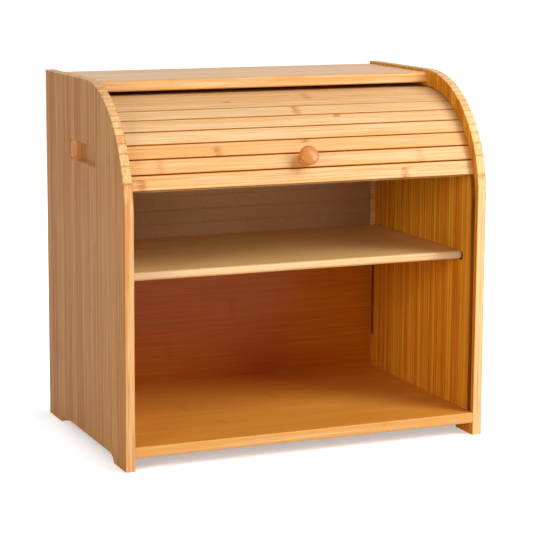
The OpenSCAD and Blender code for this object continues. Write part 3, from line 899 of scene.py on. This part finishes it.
class MakeCanvas(bpy.types.Operator):
    """Lay the canvas on the backs of the slats, one strip to a slat"""

    bl_idname = "bread_box.canvas"
    bl_label = "Canvas backing"

    def execute(self, context):
        door = context.scene.bread_door
        finish = context.scene.bread_finish
        cloth = cotton_canvas("unbleached_cotton_canvas", finish.cotton, door.thread)
        steps = 13
        for number in range(1, SLAT_COUNT + 1):
            # A strip is the seat's line sunk by the glue, and again by the canvas, between two ends
            way = door.door_edge + (number - 1 + np.linspace(0, 1, steps)) * door.pitch
            depth, height, turn = seat(way)
            line = np.stack([FRONT + depth, height], 1)
            sunk = np.stack([np.cos(turn), -np.sin(turn)], 1)
            front, rear = line + sunk * door.glue, line + sunk * (door.glue + door.canvas)
            loop = np.concatenate([front, rear[::-1]])
            run = np.concatenate([way, way[::-1]])
            places = np.concatenate([
                np.column_stack([np.full(len(loop), x), loop]) for x in (CANVAS_LOW.x, CANVAS_HIGH.x)
            ])
            quads = skin_between(0, 2, len(loop))
            ends = np.arange(steps - 1)
            last = len(loop) - 1
            cap = np.stack([ends, ends + 1, last - ends - 1, last - ends], 1)
            quads = np.concatenate([quads, cap, cap + len(loop)])
            crease = np.minimum(run - way[0], way[-1] - run)
            grain = np.column_stack([places[:, 0], np.tile(run, 2), np.tile(crease, 2)])
            surface = places, None, quads, np.zeros((0, 3), int)
            node, body = slat_names(number)
            name = f"canvas_strip_{number:02d}"
            strip = make_piece(name, surface, grain, 0.0, 1.0, cloth, body, "canvas_backing")
        return {"FINISHED"}


class MakeKnob(bpy.types.Operator):
    """Turn the knob and finish the screw and the dowels"""

    bl_idname = "bread_box.knob"
    bl_label = "Knob and hardware"

    def execute(self, context):
        knob = context.scene.bread_knob
        door = context.scene.bread_door
        finish = context.scene.bread_finish
        depth, height, turn = slat_place(HANDLE_SLAT)
        outward = np.array([0, -np.cos(turn), np.sin(turn)])
        upward = np.array([0, np.sin(turn), np.cos(turn)])
        base = np.array([0, FRONT + depth, height]) + outward * door.slat_thickness
        surface = turned_surface(knob_profile(knob), base, outward, upward, knob.steps)
        wood = turned_wood("lacquered_beech_knob", finish.turned)
        body = "door_handle_slat"
        make_piece("turned_knob", surface, surface[0], 0.0, 1.0, wood, body, "knob")
        zinc = zinc_plate("zinc_plated_screw", finish.zinc)
        peg = raw_dowel("raw_beech_dowels", finish.peg)
        dressed = {
            "knob_screw": zinc, "top_dowels": peg, "bottom_dowels": peg, "back_dowels": peg
        }
        for node, material in dressed.items():
            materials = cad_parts[node].data.materials
            materials.clear()
            materials.append(material)
        return {"FINISHED"}


class MakeStudio(bpy.types.Operator):
    """Set the pale floor, the soft lamps, the even light and the camera"""

    bl_idname = "bread_box.studio"
    bl_label = "Studio"

    def execute(self, context):
        scene = context.scene
        studio = scene.bread_studio
        far = 6.0
        floor_mesh = bpy.data.meshes.new("studio_floor")
        floor_mesh.from_pydata(
            [(-far, -far, 0), (far, -far, 0), (far, far, 0), (-far, far, 0)], [], [(0, 1, 2, 3)]
        )
        floor_mesh.materials.append(painted_board("pale_studio_floor"))
        floor = bpy.data.objects.new("studio_floor", floor_mesh)
        scene.collection.objects.link(floor)
        scene.world = even_light("even_white_light", studio.ambient)

        aim = Vector((0.0, 0.0, 0.2))
        lamps = (
            ("right_softbox", (1.05, -1.05, 0.9), 0.6, studio.right),
            ("left_softbox", (-2.0, -1.3, 0.6), 0.9, studio.left),
            ("high_softbox", (0.9, -1.2, 1.8), 0.8, studio.high),
            ("front_softbox", (-0.6, -2.2, 0.8), 0.8, studio.front),
            ("rear_softbox", (-0.4, 2.2, 0.8), 0.9, studio.rear),
        )
        for name, place, size, power in lamps:
            lamp = bpy.data.lights.new(name, "AREA")
            lamp.size = size
            lamp.energy = power
            holder = bpy.data.objects.new(name, lamp)
            scene.collection.objects.link(holder)
            holder.location = place
            holder.rotation_euler = (aim - Vector(place)).to_track_quat("-Z", "Y").to_euler()

        # Camera: yaw, pitch and roll of the photograph's view in radians, and its place in metres
        yaw, pitch, roll = -0.38806, 0.16132, 0.0025
        place = Vector((-0.773240, FRONT - 1.702922, 0.520940))
        forward = Vector((-np.sin(yaw) * np.cos(pitch), np.cos(yaw) * np.cos(pitch), -np.sin(pitch)))
        level = Vector((np.cos(yaw), np.sin(yaw), 0))
        rise = level.cross(forward)
        right = np.cos(roll) * level + np.sin(roll) * rise
        up = np.cos(roll) * rise - np.sin(roll) * level
        camera = bpy.data.cameras.new("photo_camera")
        camera.lens = studio.focal
        camera.sensor_width = 36.0
        camera.shift_x = studio.shift
        camera.shift_y = -studio.shift
        holder = bpy.data.objects.new("photo_camera", camera)
        scene.collection.objects.link(holder)
        turned = Matrix((right, up, -forward)).transposed().to_4x4()
        holder.matrix_world = Matrix.Translation(place) @ turned
        scene.camera = holder
        scene.view_settings.view_transform = "Standard"
        return {"FINISHED"}


class BreadBoxPanel(bpy.types.Panel):
    """Lists the steps that make the bread box, and the values that they use."""

    bl_idname = "VIEW3D_PT_bread_box"
    bl_label = "Bread box"
    bl_space_type = "VIEW_3D"
    bl_region_type = "UI"
    bl_category = "Bread box"

    def draw(self, context):
        layout = self.layout
        for operator in OPERATORS:
            layout.operator(operator.bl_idname)
        for name, group in SETTINGS.items():
            box = layout.box()
            box.label(text=group.__doc__)
            for field in group.__annotations__:
                box.prop(getattr(context.scene, name), field)


OPERATORS = (MakeSidePanels, MakeBoards, MakeSlats, MakeCanvas, MakeKnob, MakeStudio)
CLASSES = (*SETTINGS.values(), *OPERATORS, BreadBoxPanel)


def register():
    """Makes the settings, operators and panel known to Blender."""
    for item in CLASSES:
        bpy.utils.register_class(item)
    for name, group in SETTINGS.items():
        setattr(bpy.types.Scene, name, PointerProperty(type=group))


def unregister():
    """Takes them away again."""
    for name in SETTINGS:
        delattr(bpy.types.Scene, name)
    for item in reversed(CLASSES):
        bpy.utils.unregister_class(item)


def main():
    """Makes the whole model, one operator after the other."""
    register()
    bpy.ops.bread_box.side_panels()
    bpy.ops.bread_box.boards()
    bpy.ops.bread_box.slats()
    bpy.ops.bread_box.canvas()
    bpy.ops.bread_box.knob()
    bpy.ops.bread_box.studio()


if __name__ == "__main__":
    main()
